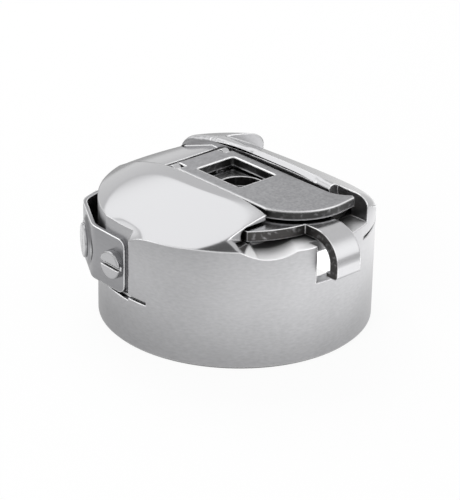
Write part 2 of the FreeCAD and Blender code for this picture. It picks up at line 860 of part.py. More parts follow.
print("slide travel", round(slide_travel, 3), "mm")
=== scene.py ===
"""Looks of a sewing machine bobbin case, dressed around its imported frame."""

import logging
import math
from dataclasses import dataclass
from enum import Enum
from typing import Any, Optional, Union

import bpy
import numpy as np
from mathutils import Matrix, Vector


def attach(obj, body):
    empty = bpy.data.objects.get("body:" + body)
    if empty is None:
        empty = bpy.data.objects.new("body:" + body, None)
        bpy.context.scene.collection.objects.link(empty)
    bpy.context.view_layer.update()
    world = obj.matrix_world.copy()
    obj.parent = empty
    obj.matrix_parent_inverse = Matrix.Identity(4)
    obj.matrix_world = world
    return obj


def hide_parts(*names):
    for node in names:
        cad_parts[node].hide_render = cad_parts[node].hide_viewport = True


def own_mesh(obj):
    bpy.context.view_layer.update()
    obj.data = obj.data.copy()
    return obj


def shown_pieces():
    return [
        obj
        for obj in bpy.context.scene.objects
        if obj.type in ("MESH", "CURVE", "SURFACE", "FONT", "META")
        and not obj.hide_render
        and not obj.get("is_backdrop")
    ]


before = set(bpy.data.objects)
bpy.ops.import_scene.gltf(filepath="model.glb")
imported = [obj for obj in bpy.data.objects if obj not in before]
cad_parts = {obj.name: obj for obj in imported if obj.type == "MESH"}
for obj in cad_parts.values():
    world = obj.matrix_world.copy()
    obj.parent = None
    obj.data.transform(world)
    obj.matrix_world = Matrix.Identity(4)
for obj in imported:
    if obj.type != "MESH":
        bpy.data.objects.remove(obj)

LOG = logging.getLogger("bobbin_case")
MM = 0.001

Number = Union[int, float]
Colour = tuple[float, float, float]
Point = tuple[float, float, float]
Range = tuple[float, float]

# Painted highlight on edges, painted shade in crevices, rays of the edge and crevice nodes, middle value of
# noise
HIGHLIGHT_COLOUR = (0.95, 0.95, 0.96, 1.0)
CREVICE_SHADE_COLOUR = (0.03, 0.03, 0.03, 1.0)
SURFACE_RAYS = 8
NOISE_MIDDLE = 0.5


class Value:
    """One output socket of a node graph that takes part in Python expressions."""

    def __init__(self, graph: "Graph", socket: bpy.types.NodeSocket) -> None:
        """Keep the graph and the socket.

        Args:
            graph: Graph that owns the socket.
            socket: Output socket that carries the value.
        """
        self.graph = graph
        self.socket = socket

    def __add__(self, other: "Operand") -> "Value":
        """Sum of two values."""
        return self.graph.maths("ADD", self, other)

    def __radd__(self, other: "Operand") -> "Value":
        """Sum with the number on the left."""
        return self.graph.maths("ADD", other, self)

    def __sub__(self, other: "Operand") -> "Value":
        """Difference of two values."""
        return self.graph.maths("SUBTRACT", self, other)

    def __rsub__(self, other: "Operand") -> "Value":
        """Difference with the number on the left."""
        return self.graph.maths("SUBTRACT", other, self)

    def __mul__(self, other: "Operand") -> "Value":
        """Product of two values."""
        return self.graph.maths("MULTIPLY", self, other)

    def __rmul__(self, other: "Operand") -> "Value":
        """Product with the number on the left."""
        return self.graph.maths("MULTIPLY", other, self)

    def __truediv__(self, other: "Operand") -> "Value":
        """Quotient of two values."""
        return self.graph.maths("DIVIDE", self, other)

    def __rtruediv__(self, other: "Operand") -> "Value":
        """Quotient with the number on the left."""
        return self.graph.maths("DIVIDE", other, self)

    def at_least(self, other: "Operand") -> "Value":
        """Larger of two values."""
        return self.graph.maths("MAXIMUM", self, other)

    def at_most(self, other: "Operand") -> "Value":
        """Smaller of two values."""
        return self.graph.maths("MINIMUM", self, other)

    def step(self, low: Number, high: Number) -> "Value":
        """Smooth step from 0 at low to 1 at high.

        Args:
            low: Value that gives 0.
            high: Value that gives 1; it may lie below low for a falling step.

        Returns:
            The stepped value.
        """
        settings = {"interpolation_type": "SMOOTHSTEP"}
        sockets = {"Value": self, "From Min": low, "From Max": high}
        return self.graph.node("ShaderNodeMapRange", settings, sockets)["Result"]


Operand = Union[Value, Number]


class Outputs:
    """Outputs of one node, looked up by name."""

    def __init__(self, graph: "Graph", node: bpy.types.Node) -> None:
        """Keep the graph and the node.

        Args:
            graph: Graph that owns the node.
            node: Node whose outputs are read.
        """
        self.graph = graph
        self.node = node

    def __getitem__(self, name: Union[str, int]) -> Value:
        """Output socket of that name or place."""
        return Value(self.graph, self.node.outputs[name])


class Graph:
    """A node tree that is filled through one method."""

    def __init__(self, tree: bpy.types.NodeTree) -> None:
        """Empty the tree.

        Args:
            tree: Node tree of a material or of the world.
        """
        self.tree = tree
        self.tree.nodes.clear()

    def node(
        self,
        kind: str,
        settings: Optional[dict[str, Any]] = None,
        sockets: Optional[dict[Union[str, int], Any]] = None,
    ) -> Outputs:
        """Add one node.

        Args:
            kind: Blender's name of the node's type.
            settings: Properties of the node, set before its sockets.
            sockets: Numbers, colours or linked values of its inputs.

        Returns:
            The outputs of the new node.
        """
        node = self.tree.nodes.new(kind)
        for name, value in (settings or {}).items():
            setattr(node, name, value)
        for name, value in (sockets or {}).items():
            if isinstance(value, Value):
                self.tree.links.new(value.socket, node.inputs[name])
            else:
                node.inputs[name].default_value = value
        return Outputs(self, node)

    def maths(self, operation: str, first: Operand, second: Operand) -> Value:
        """Add one Math node.

        Args:
            operation: Name of the operation.
            first: Left operand.
            second: Right operand.

        Returns:
            The result.
        """
        return self.node("ShaderNodeMath", {"operation": operation}, {0: first, 1: second})["Value"]

    def blend(self, factor: Operand, first: Any, second: Any) -> Value:
        """Mix two colours.

        Args:
            factor: 0 gives the first colour and 1 the second.
            first: Colour or linked value.
            second: Colour or linked value.

        Returns:
            The mixed colour.
        """
        settings = {"data_type": "RGBA", "clamp_factor": True}
        return self.node("ShaderNodeMix", settings, {0: factor, 6: first, 7: second})[2]

    def place(self) -> Outputs:
        """X, Y and Z of the spot in the piece's own axes."""
        spot = self.node("ShaderNodeTexCoord")["Object"]
        return self.node("ShaderNodeSeparateXYZ", {}, {"Vector": spot})

    def openness(self, reach: float) -> Value:
        """Share of the surroundings within a reach that is open: 1 outside, 0 deep in a crevice."""
        sockets = {"Distance": reach}
        return self.node("ShaderNodeAmbientOcclusion", {"samples": SURFACE_RAYS}, sockets)["AO"]

    def facing(self) -> Outputs:
        """Way the surface faces, turned from the world's axes into the piece's own.

        Returns:
            Its X, Y and Z.
        """
        normal = self.node("ShaderNodeNewGeometry")["True Normal"]
        settings = {"vector_type": "NORMAL", "convert_from": "WORLD", "convert_to": "OBJECT"}
        turned = self.node("ShaderNodeVectorTransform", settings, {"Vector": normal})["Vector"]
        return self.node("ShaderNodeSeparateXYZ", {}, {"Vector": turned})


class Grain(Enum):
    """How the fine marks of a metal surface run."""

    BLASTED = "even in every direction"
    TURNED = "in rings round the case axis"
    ROLLED = "level, along the strip"
    DRAWN = "along the slide's run"


STRETCH: dict[Grain, Point] = {
    Grain.BLASTED: (1.0, 1.0, 1.0),
    Grain.TURNED: (0.35, 0.35, 1.0),
    Grain.ROLLED: (0.2, 0.2, 1.0),
    Grain.DRAWN: (0.15, 1.0, 1.0),
}


@dataclass(frozen=True)
class MetalFinish:
    """One steel finish: its tone, its gloss, its grain, a painted highlight on its edges and painted shade
    in its crevices.
    """

    name: str
    slot: str
    tone: Colour
    roughness: float
    grain: Grain
    grain_size: float = 0.12 * MM
    grain_depth: float = 0.0015 * MM
    tone_spread: float = 0.06
    edge_width: float = 0.2 * MM
    # Strength of the painted highlight on the edges
    edge_highlight: float = 0.6
    edge_turn: Range = (0.997, 0.92)
    edge_gloss: float = 0.3
    # Reach, strength and range of the painted shade in crevices
    crevice_shade_reach: float = 0.6 * MM
    crevice_shade: float = 0.8
    crevice_shade_open: Range = (0.6, 0.2)
    fine_layers: float = 3.0
    fine_weight: float = 2.0
    broad_layers: float = 2.0
    broad_size: float = 30.0
    rough_base: float = 0.85
    rough_spread: float = 0.3

    def surface(self, graph: Graph) -> dict[str, Value]:
        """Work out what varies over the surface.

        Colour is the tone, wandering with broad noise and fine grain, with a painted highlight
        on the edges and painted shade in crevices; roughness follows the grain; the normal is
        rounded over the edges and roughened by the grain.

        Args:
            graph: Graph of the material.

        Returns:
            Values for Base Color, Roughness and Normal.
        """
        place = graph.node("ShaderNodeTexCoord")["Object"]
        stretched = graph.node(
            "ShaderNodeMapping", {}, {"Vector": place, "Scale": STRETCH[self.grain]}
        )["Vector"]
        fine = self.noise(graph, stretched, self.grain_size, self.fine_layers)
        broad = self.noise(graph, place, self.broad_size * self.grain_size, self.broad_layers)
        edge_normal, edge = self.rounded_edge(graph)
        grained = self.tone_spread * (fine - NOISE_MIDDLE) * self.fine_weight
        shade = 1 + grained + self.tone_spread * (broad - NOISE_MIDDLE)
        tone = graph.node(
            "ShaderNodeVectorMath", {"operation": "SCALE"}, {0: self.tone, "Scale": shade}
        )["Vector"]
        ground = self.ground(graph, tone)
        # Painted highlight: the colour is lightened towards pale steel on the edges
        bright = graph.blend(edge * self.edge_highlight, ground, HIGHLIGHT_COLOUR)
        # Painted shade: the colour is darkened towards near black in crevices and gaps
        crevice_shaded = graph.openness(self.crevice_shade_reach).step(*self.crevice_shade_open) * self.crevice_shade
        colour = graph.blend(crevice_shaded, bright, CREVICE_SHADE_COLOUR)
        worn = self.edge_gloss * self.roughness * edge
        roughness = self.roughness * (self.rough_base + self.rough_spread * fine) - worn
        bump = graph.node(
            "ShaderNodeBump",
            {},
            {"Strength": 1.0, "Distance": self.grain_depth, "Height": fine, "Normal": edge_normal},
        )["Normal"]
        return {"Base Color": colour, "Roughness": roughness, "Normal": bump}

    def ground(self, graph: Graph, tone: Value) -> Value:
        """Colour before the painted edge highlight and the painted crevice shade: here the tone itself.

        Args:
            graph: Graph of the material.
            tone: The tone with its wander and grain.

        Returns:
            The colour.
        """
        return tone

    @staticmethod
    def noise(graph: Graph, place: Value, size: float, detail: float) -> Value:
        """Noise of a given size.

        Args:
            graph: Graph of the material.
            place: Coordinates that the noise lies in.
            size: Size of one mark in metres.
            detail: Number of finer layers.

        Returns:
            The noise, about 0 to 1.
        """
        sockets = {"Vector": place, "Scale": 1 / size, "Detail": detail}
        return graph.node("ShaderNodeTexNoise", {}, sockets)["Fac"]

    def rounded_edge(self, graph: Graph) -> tuple[Value, Value]:
        """Normal rounded over the edges and a mask that is 1 on them.

        Args:
            graph: Graph of the material.

        Returns:
            The rounded normal and the edge mask.
        """
        sockets = {"Radius": self.edge_width}
        rounded = graph.node("ShaderNodeBevel", {"samples": SURFACE_RAYS}, sockets)["Normal"]
        normal = graph.node("ShaderNodeNewGeometry")["Normal"]
        settings = {"operation": "DOT_PRODUCT"}
        turn = graph.node("ShaderNodeVectorMath", settings, {0: rounded, 1: normal})["Value"]
        return rounded, turn.step(*self.edge_turn)

    def material(self) -> bpy.types.Material:
        """Make the material.

        Returns:
            The new material.
        """
        made = bpy.data.materials.new(self.name)
        made.use_nodes = True
        graph = Graph(made.node_tree)
        sockets: dict[Union[str, int], Any] = {"Metallic": 1.0}
        sockets.update(self.surface(graph))
        shader = graph.node("ShaderNodeBsdfPrincipled", {}, sockets)["BSDF"]
        graph.node("ShaderNodeOutputMaterial", {}, {"Surface": shader})
        return made


def dress(piece: Union[str, bpy.types.Object], finish: MetalFinish) -> None:
    """Give one piece its finish.

    Args:
        piece: Name of a node of the frame, or a piece made here.
        finish: Finish that it gets.
    """
    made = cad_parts[piece] if isinstance(piece, str) else piece
    made.data.materials.clear()
    made.data.materials.append(finish.material())
    LOG.info("dressed %s with %s", made.name, finish.name)


@dataclass(frozen=True)
class CaseFinish(MetalFinish):
    """Steel of the case body: a satin turned wall, a polished crown, a matt scoop, a bright inside."""

    crown_tone: Colour = (0.46, 0.46, 0.47)
    crown_roughness: float = 0.16
    crown_lean: Range = (0.02, 0.12)
    scoop_top: float = 10.62 * MM
    scoop_start: float = 5.0 * MM
    scoop_side: float = 5.2 * MM
    scoop_tone: Colour = (0.93, 0.93, 0.94)
    scoop_shade: Colour = (0.06, 0.06, 0.06)
    scoop_lean: Range = (0.1, 0.3)
    scoop_roughness: float = 0.3
    scoop_matt: float = 0.6
    scoop_open: Range = (0.35, 0.85)
    shade_reach: float = 2.2 * MM
    inside_tone: Colour = (0.95, 0.95, 0.96)
    inside_top: float = 9.7 * MM
    inside_turn: Range = (-0.6, -0.9)
    border: float = 0.1 * MM

    def zones(self, graph: Graph) -> tuple[Value, Value, Value]:
        """Masks of the crown, the scoop and the inside of the cup.

        The wall stands upright and what leans is crown; the scoop and the pocket lie low
        beyond the start of the pocket; the inside faces the axis below the end wall.

        Args:
            graph: Graph of the material.

        Returns:
            The three masks.
        """
        facing = graph.facing()
        spot = graph.place()
        crown = graph.maths("ABSOLUTE", facing["Z"], 0.0).step(*self.crown_lean)
        upward = facing["Z"].step(*self.scoop_lean)
        low = spot["Z"].step(self.scoop_top, self.scoop_top - self.border) * upward
        beside = spot["Y"].step(self.scoop_side, self.scoop_side - self.border)
        scoop = low * beside * spot["X"].step(self.scoop_start, self.scoop_start + 2 * self.border)
        radius = graph.maths("SQRT", spot["X"] * spot["X"] + spot["Y"] * spot["Y"], 0.0)
        outward = (facing["X"] * spot["X"] + facing["Y"] * spot["Y"]) / radius
        below = spot["Z"].step(self.inside_top, self.inside_top - self.border)
        inside = outward.step(*self.inside_turn) * below
        return crown, scoop, inside

    def ground(self, graph: Graph, tone: Value) -> Value:
        """Satin wall, polished crown, scoop shaded under the slide and bright inside.

        Args:
            graph: Graph of the material.
            tone: The tone with its wander and grain.

        Returns:
            The colour.
        """
        crown, scoop, inside = self.zones(graph)
        clear = graph.openness(self.shade_reach).step(*self.scoop_open)
        lit = graph.blend(clear, (*self.scoop_shade, 1.0), (*self.scoop_tone, 1.0))
        polish = graph.blend(crown, tone, (*self.crown_tone, 1.0))
        scooped = graph.blend(scoop, polish, lit)
        return graph.blend(inside, scooped, (*self.inside_tone, 1.0))

    def surface(self, graph: Graph) -> dict[str, Value]:
        """Add the zones' gloss to the plain finish.

        Args:
            graph: Graph of the material.

        Returns:
            Values for Base Color, Roughness, Metallic and Normal.
        """
        made = super().surface(graph)
        crown, scoop, _ = self.zones(graph)
        polished = made["Roughness"] * (1 - crown) + self.crown_roughness * crown
        return {
            "Base Color": made["Base Color"],
            "Roughness": polished + self.scoop_roughness * scoop,
            "Metallic": 1 - self.scoop_matt * scoop,
            "Normal": made["Normal"],
        }


@dataclass(frozen=True)
class StampedFinish(MetalFinish):
    """Stamped steel: finished faces, and rougher upright sides with painted shade in mottled patches."""

    # Painted shade on the upright sides
    side_shade: Colour = (0.08, 0.077, 0.075)
    side_roughness: float = 0.42
    side_lean: Range = (0.5, 0.2)
    mottle_size: float = 0.45 * MM
    mottle_range: Range = (0.1, 0.5)
    # Painted highlight on rounded edges
    round_highlight: float = 0.0
    round_start: Range = (0.2, 0.4)
    round_end: Range = (0.96, 0.85)
    horn_start: float = 10.8 * MM
    horn_border: float = 0.4 * MM
    horn_turn: Range = (0.4, 0.7)

    def side(self, graph: Graph) -> Value:
        """Mask of the upright sides, mottled, which get painted shade and a rougher finish.

        A side stands upright; the horn's outer face does too, but faces along X past the
        start of the horn, and is left out of the mask.

        Args:
            graph: Graph of the material.

        Returns:
            The mask.
        """
        facing = graph.facing()
        upright = graph.maths("ABSOLUTE", facing["Z"], 0.0).step(*self.side_lean)
        past_start = graph.place()["X"].step(self.horn_start, self.horn_start + self.horn_border)
        outer = facing["X"].step(*self.horn_turn) * past_start
        place = graph.node("ShaderNodeTexCoord")["Object"]
        mottle = self.noise(graph, place, self.mottle_size, self.fine_layers)
        return upright * (1 - outer) * mottle.step(*self.mottle_range)

    def ground(self, graph: Graph, tone: Value) -> Value:
        """Tone of the faces, painted shade on the sides and a painted highlight on rounded edges.

        Args:
            graph: Graph of the material.
            tone: The tone with its wander and grain.

        Returns:
            The colour.
        """
        # Painted shade: the upright sides are darkened in mottled patches
        shaded_sides = graph.blend(self.side(graph), tone, (*self.side_shade, 1.0))
        lean = graph.maths("ABSOLUTE", graph.facing()["Z"], 0.0)
        rounded = lean.step(*self.round_start) * lean.step(*self.round_end)
        # Painted highlight: rounded edges are lightened
        return graph.blend(rounded * self.round_highlight, shaded_sides, HIGHLIGHT_COLOUR)

    def surface(self, graph: Graph) -> dict[str, Value]:
        """Make the sides duller than the faces.

        Args:
            graph: Graph of the material.

        Returns:
            Values for Base Color, Roughness and Normal.
        """
        made = super().surface(graph)
        side = self.side(graph)
        made["Roughness"] = made["Roughness"] * (1 - side) + self.side_roughness * side
        return made


@dataclass(frozen=True)
class CaseShell:
    """Case body as it is polished: bowed near facet, eased far rim and a falling finger scoop.

    It is the body's own mesh, welded and refined on its upper surfaces, whose heights are
    then taken from formulas of X and Y. Sizes are in millimetres.
    """

    radius: float = 12.0
    rim_height: float = 10.7
    crown_height: float = 12.9
    crown_flat: float = 4.2
    channel_half: float = 3.65
    ground_height: float = 13.65
    ground_fall_x: float = 0.0624
    ground_rise_y: float = 0.217
    facet_centre: tuple[float, float] = (1.0, -8.0)
    facet_height: float = 12.0
    facet_fall_x: float = 0.032
    facet_rise_y: float = 0.33
    facet_bow: float = 45.0
    facet_blend: float = 0.03
    dip_angle: float = -95.0
    dip_spread: float = 8.0
    dip_depth: float = 0.95
    dip_reach: float = 1.0
    lug_front: float = -7.0
    lug_rim: float = 11.64
    ridge_height: float = 13.15
    ridge_peak: float = 1.5
    ridge_radius: float = 95.0
    bevel_start: float = 4.25
    bevel_height: float = 13.0
    bevel_slope: float = 0.5
    ridge_round: float = 0.5
    ridge_drop: float = 0.35
    ease_width: float = 1.3
    ease_drop: float = 0.9
    scoop_angle: float = -28.7
    scoop_radius: float = 5.28
    scoop_floor: float = 10.0
    scoop_start: float = 9.4
    scoop_rise: float = 0.45
    longest_edge: float = 0.24
    rim_edge: float = 0.09
    split_rounds: int = 10
    scoop_rounds: int = 6
    touch: float = 0.03
    nudge: float = 0.001
    steepest: float = 0.3
    weld_digits: int = 4
    sharp_angle: float = 30.0

    def crown(self, distance: np.ndarray, rim: float, top: float) -> np.ndarray:
        """Height of a turned crown: level in the middle, then one arc down to the rim.

        The arc leaves the middle level, so its radius is half the sum of the squares of
        reach and drop over the drop.

        Args:
            distance: Distance from the axis.
            rim: Height at the wall.
            top: Height of the level middle.

        Returns:
            The heights.
        """
        drop = top - rim
        reach = self.radius - self.crown_flat
        arc = (reach**2 + drop**2) / (2 * drop)
        along = np.clip(distance - self.crown_flat, 0.0, reach)
        return top - arc + np.sqrt(arc**2 - along**2)

    def cad_top(self, x: np.ndarray, y: np.ndarray) -> np.ndarray:
        """Height of the solid's upper surface, outside the channel and the pocket.

        On the near side it is the lower of the crown and a plane ground off it, and on the
        far side the lug, the ridge and the bevel.

        Args:
            x: X of the points.
            y: Y of the points.

        Returns:
            The heights.
        """
        distance = np.hypot(x, y)
        ground = self.ground_height - self.ground_fall_x * x + self.ground_rise_y * y
        near = np.minimum(self.crown(distance, self.rim_height, self.crown_height), ground)
        return np.where(y < 0, near, self.far_top(x, y))

    def far_top(self, x: np.ndarray, y: np.ndarray) -> np.ndarray:
        """Height of the lug, the ridge and the bevel beyond the channel.

        Behind its front the lug is a turned crown. Before it the ridge is an arch along X,
        and past the bevel's start the lower of the arch and a plane that falls with Y.

        Args:
            x: X of the points.
            y: Y of the points.

        Returns:
            The heights.
        """
        lug = self.crown(np.hypot(x, y), self.lug_rim, self.ridge_height)
        past_peak = x - self.ridge_peak
        arch = self.ridge_height - self.ridge_radius + np.sqrt(self.ridge_radius**2 - past_peak**2)
        bevel = self.bevel_height - self.bevel_slope * (y - self.bevel_start)
        strip = np.where(y > self.bevel_start, np.minimum(arch, bevel), arch)
        return np.where(x < self.lug_front, lug, strip)

    def polished_top(self, x: np.ndarray, y: np.ndarray) -> np.ndarray:
        """Height of the polished upper surface.

        On the near side it is the lower of the crown and a shallow bowed facet, eased where
        they meet; on the far side the rim and the ridge's inner edge roll over on quarter ellipses.

        Args:
            x: X of the points.
            y: Y of the points.

        Returns:
            The heights.
        """
        distance = np.hypot(x, y)
        across = x - self.facet_centre[0]
        out = y - self.facet_centre[1]
        bowed = (across**2 + out**2) / (2 * self.facet_bow)
        facet = self.facet_height - self.facet_fall_x * across + self.facet_rise_y * out - bowed
        dome = self.crown(distance, self.rim_height, self.crown_height)
        near = (facet + dome - np.sqrt((facet - dome) ** 2 + self.facet_blend**2)) / 2
        aside = (np.degrees(np.arctan2(y, x)) - self.dip_angle) / self.dip_spread
        rimward = np.clip((distance - self.radius + self.dip_reach) / self.dip_reach, 0.0, 1.0)
        near = near - self.dip_depth * np.exp(-(aside**2)) * rimward**2
        turn = np.clip((distance - self.radius + self.ease_width) / self.ease_width, 0.0, 1.0)
        inward = np.clip((self.channel_half + self.ridge_round - y) / self.ridge_round, 0.0, 1.0)
        rim_roll = self.ease_drop * (1 - np.sqrt(1 - turn**2))
        ridge_roll = self.ridge_drop * (1 - np.sqrt(1 - inward**2))
        far = self.far_top(x, y) - (rim_roll + ridge_roll)
        return np.where(y < 0, near, far)

    def scoop(self, x: np.ndarray, y: np.ndarray) -> tuple[np.ndarray, np.ndarray]:
        """Heights of the scoop in the solid and with its fall to the outside.

        The solid's scoop is a level round trough that runs outwards at an angle. The one
        shown stands higher by an amount that grows evenly from the wall to the scoop's start.

        Args:
            x: X of the points.
            y: Y of the points.

        Returns:
            The solid's heights and the heights shown.
        """
        turn = math.radians(self.scoop_angle)
        along = x * math.cos(turn) + y * math.sin(turn)
        across = np.clip(y * math.cos(turn) - x * math.sin(turn), -self.scoop_radius, self.scoop_radius)
        trough = self.scoop_floor + self.scoop_radius - np.sqrt(self.scoop_radius**2 - across**2)
        inward = np.clip((self.radius - along) / (self.radius - self.scoop_start), 0.0, 1.0)
        return trough, trough + self.scoop_rise * inward

    def keyed(self, points: np.ndarray) -> np.ndarray:
        """Points with a fourth column, the X at which the formulas are read.

        It is the point's own X, but on the step at the lug's front it lies a nudge behind
        the step for points of the lug and a nudge before it for points of the bevel.

        Args:
            points: Points in millimetres.

        Returns:
            The points with their fourth column.
        """
        x, y, z = points.T
        lug = self.crown(np.hypot(x, y), self.lug_rim, self.ridge_height)
        way = np.where(np.abs(z - lug) < self.touch, -self.nudge, self.nudge)
        at_step = np.abs(x - self.lug_front) < self.nudge
        return np.column_stack([points, np.where(at_step, self.lug_front + way, x)])

    def on_top(self, points: np.ndarray) -> np.ndarray:
        """Which points lie on the upper surface that is reshaped, beside the channel.

        Args:
            points: Keyed points in millimetres.

        Returns:
            One mark for each point.
        """
        _, y, z, x = points.T
        outside = np.abs(y) > self.channel_half - self.touch
        return outside & (np.abs(z - self.cad_top(x, y)) < self.touch)

    def in_scoop(self, points: np.ndarray) -> np.ndarray:
        """Which points lie on the finger scoop and on no upper surface.

        Args:
            points: Keyed points in millimetres.

        Returns:
            One mark for each point.
        """
        _, y, z, x = points.T
        low = np.abs(z - self.scoop(x, y)[0]) < self.touch
        return low & ~self.on_top(points) & (np.hypot(x, y) > self.scoop_start) & (x > 0)

    def weld(self) -> tuple[np.ndarray, np.ndarray]:
        """Points and triangles of the body with the points that coincide made one.

        Returns:
            The points in millimetres and the triangles.
        """
        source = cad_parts["case_body"].data
        points = np.empty(3 * len(source.vertices))
        source.vertices.foreach_get("co", points)
        corners = np.empty(len(source.loops), dtype=np.int64)
        source.loops.foreach_get("vertex_index", corners)
        points = points.reshape(-1, 3) / MM
        rounded = np.round(points, self.weld_digits)
        _, first, owner = np.unique(rounded, axis=0, return_index=True, return_inverse=True)
        triangles = owner.reshape(-1)[corners].reshape(-1, 3)
        low, mid, high = np.sort(triangles, axis=1).T
        return points[first], triangles[(low < mid) & (mid < high)]

    def long_edges(self, points: np.ndarray, edges: np.ndarray, marked: np.ndarray) -> np.ndarray:
        """Which edges are to be halved.

        Both ends are marked, the edge isn't steep, doesn't climb the step at the lug's front,
        and is longer than its limit, which is short where the far rim rolls over.

        Args:
            points: Points in millimetres.
            edges: Ends of the edges.
            marked: Which points lie on the surfaces that are refined.

        Returns:
            One mark for each edge.
        """
        span = points[edges[:, 0], :3] - points[edges[:, 1], :3]
        length = np.linalg.norm(span, axis=1)
        level = np.linalg.norm(span[:, :2], axis=1) > self.steepest * length
        at_step = np.abs(points[edges, 0] - self.lug_front).max(axis=1) < self.nudge
        up_step = at_step & (np.ptp(points[edges, 3], axis=1) > self.nudge)
        x, y = points[edges].mean(axis=1)[:, :2].T
        rolled = (y > 0) & (np.hypot(x, y) > self.radius - self.ease_width)
        limit = np.where(rolled, self.rim_edge, self.longest_edge)
        return marked[edges].all(axis=1) & level & ~up_step & (length > limit)

    def split(
        self, points: np.ndarray, triangles: np.ndarray, marked: np.ndarray
    ) -> tuple[np.ndarray, np.ndarray, np.ndarray]:
        """Halve the long edges of the marked surfaces once.

        A triangle with one, two or three halved edges becomes two, three or four.

        Args:
            points: Points in millimetres.
            triangles: Corners of the triangles.
            marked: Which points lie on the surfaces that are refined.

        Returns:
            The new points, triangles and marks.
        """
        sides = np.stack([triangles, np.roll(triangles, -1, axis=1)], axis=-1)
        edges, owner = np.unique(np.sort(sides, axis=-1).reshape(-1, 2), axis=0, return_inverse=True)
        halved = self.long_edges(points, edges, marked)
        number = np.where(halved, len(points) + np.cumsum(halved) - 1, -1)
        middle = number[owner.reshape(-1)].reshape(-1, 3)
        count = (middle >= 0).sum(axis=1)
        first = np.where(count == 2, np.argmin(middle, axis=1) + 1, np.argmax(middle, axis=1))
        turned = (first[:, None] + np.arange(3)) % 3
        a, b, c = np.take_along_axis(triangles, turned, axis=1).T
        ab, bc, ca = np.take_along_axis(middle, turned, axis=1).T
        patterns = {
            0: [(a, b, c)],
            1: [(a, ab, c), (ab, b, c)],
            2: [(ab, b, bc), (a, ab, bc), (a, bc, c)],
            3: [(a, ab, ca), (ab, b, bc), (ca, bc, c), (ab, bc, ca)],
        }
        made = [
            np.stack(corners, axis=-1)[count == kind]
            for kind, pattern in patterns.items()
            for corners in pattern
        ]
        centres = points[edges[halved]].mean(axis=1)
        marks = np.concatenate([marked, np.ones(len(centres), dtype=bool)])
        return np.concatenate([points, centres]), np.concatenate(made), marks

    def build(self) -> bpy.types.Object:
        """Make the shell in place of the body.

        Returns:
            The new piece.
        """
        points, triangles = self.weld()
        points = self.keyed(points)
        scooped = self.in_scoop(points)
        for _ in range(self.scoop_rounds):
            points, triangles, scooped = self.split(points, triangles, scooped)
        top = self.on_top(points) & ~scooped
        for _ in range(self.split_rounds):
            points, triangles, top = self.split(points, triangles, top)
        _, y, z, x = points.T
        sunk = np.concatenate([scooped, np.zeros(len(points) - len(scooped), dtype=bool)])
        points[:, 2] = np.where(sunk, self.scoop(x, y)[1], np.where(top, self.polished_top(x, y), z))
        mesh = bpy.data.meshes.new("case_shell")
        mesh.from_pydata((points[:, :3] * MM).tolist(), [], triangles.tolist())
        mesh.shade_smooth()
        mesh.set_sharp_from_angle(angle=math.radians(self.sharp_angle))
        mesh.update()
        shell = bpy.data.objects.new("case_shell", mesh)
        bpy.context.scene.collection.objects.link(shell)
        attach(shell, "case")
        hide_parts("case_body")
        return shell


@dataclass
class Cup:
    """Case body and centre tube."""

    body: MetalFinish = CaseFinish(
        "satin_case_steel",
        "polished_case_steel",
        (0.46, 0.46, 0.47),
        0.34,
        Grain.TURNED,
        grain_size=0.16 * MM,
        tone_spread=0.16,
        edge_width=0.22 * MM,
        edge_highlight=0.7,
    )
    tube: MetalFinish = MetalFinish(
        "turned_tube_steel", "turned_steel", (0.36, 0.36, 0.37), 0.3, Grain.TURNED
    )

    def dress(self) -> None:
        """Give both pieces their finishes."""
        dress(CaseShell().build(), self.body)
        dress("centre_tube", self.tube)


@dataclass(frozen=True)
class ReturnCoil:
    """Return spring; the real one shortens as the slide comes back, but this copy keeps its shape.

    It is a copy of the spring's own mesh, not pressed along X. Sizes are in millimetres.
    """

    fixed_end: float = -0.85
    slide_end: float = 4.6
    travel: float = 0.8452

    def build(self) -> bpy.types.Object:
        """Make the coil in place of the solid.

        Returns:
            The new piece.
        """
        coil = bpy.data.objects.new("return_coil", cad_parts["latch_spring"].data.copy())
        bpy.context.scene.collection.objects.link(coil)
        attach(coil, "case")
        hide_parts("latch_spring")
        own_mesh(coil)
        return coil


@dataclass
class Latch:
    """Slide with its horn, lever, hinge pin, return spring and stop screw."""

    slide: MetalFinish = StampedFinish(
        "stamped_slide_steel",
        "slide_steel",
        (0.5, 0.5, 0.51),
        0.2,
        Grain.DRAWN,
        edge_width=0.16 * MM,
        edge_highlight=0.7,
    )
    lever: MetalFinish = StampedFinish(
        "blasted_lever_steel",
        "lever_steel",
        (0.31, 0.31, 0.32),
        0.4,
        Grain.BLASTED,
        grain_size=0.22 * MM,
        grain_depth=0.004 * MM,
        tone_spread=0.45,
        # Painted highlight on edges and rounded edges, painted shade on the upright sides
        edge_highlight=0.95,
        edge_width=0.3 * MM,
        side_shade=(0.07, 0.07, 0.07),
        round_highlight=0.55,
        horn_start=20.0 * MM,
    )
    pin: MetalFinish = MetalFinish("ground_pin_steel", "pin_steel", (0.42, 0.42, 0.43), 0.2, Grain.TURNED)
    wire: MetalFinish = MetalFinish("drawn_spring_wire", "spring_wire", (0.3, 0.3, 0.31), 0.3, Grain.DRAWN)
    stop: MetalFinish = MetalFinish("stop_screw_steel", "screw_steel", (0.36, 0.36, 0.37), 0.3, Grain.TURNED)

    def dress(self) -> None:
        """Give every piece its finish."""
        dress("latch_slide", self.slide)
        dress("latch_lever", self.lever)
        dress("lever_hinge_pin", self.pin)
        dress(ReturnCoil().build(), self.wire)
        dress("latch_stop_screw", self.stop)


